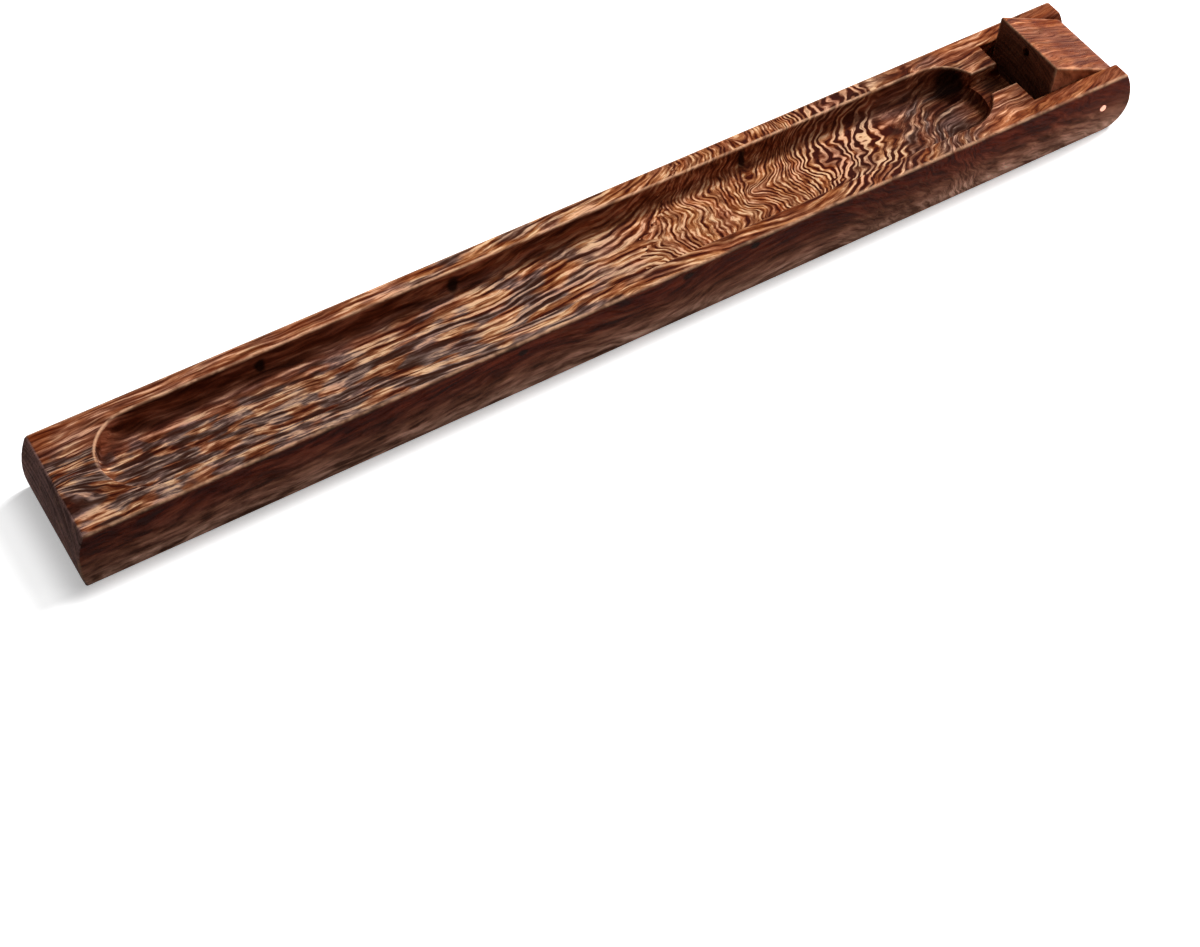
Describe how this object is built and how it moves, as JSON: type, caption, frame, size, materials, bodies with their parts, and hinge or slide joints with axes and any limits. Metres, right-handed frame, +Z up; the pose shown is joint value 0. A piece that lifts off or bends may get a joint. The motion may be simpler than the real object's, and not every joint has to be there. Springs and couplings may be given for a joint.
{
  "type": "incense stick holder",
  "caption": "Long carved hardwood tray with a rounded ash groove, a finger notch, and a wooden stick block that flips up on a copper pin at its forked end.",
  "frame": {"origin": "middle of the tray's foot, on the surface that it stands on", "axes": "+X along the tray towards the forked end with the block, +Y across it, +Z up"},
  "size_m": [0.26, 0.03, 0.0214],
  "materials": {
    "tray_wood": "satin, hand-rubbed, figured dark brown hardwood",
    "block_wood": "satin, hand-rubbed, figured reddish brown hardwood",
    "pin_copper": "polished copper"
  },
  "bodies": {
    "tray": {"tray_body": "tray_wood", "hinge_pin": "pin_copper"},
    "block": {"flip_block": "block_wood"}
  },
  "joints": [
    {"name": "block_flip", "type": "hinge", "parent": "tray", "child": "block", "pos_m": [0.122, 0, 0.0075], "axis": [0, 1, 0], "range_deg": [-25.5, 64.5]}
  ]
}
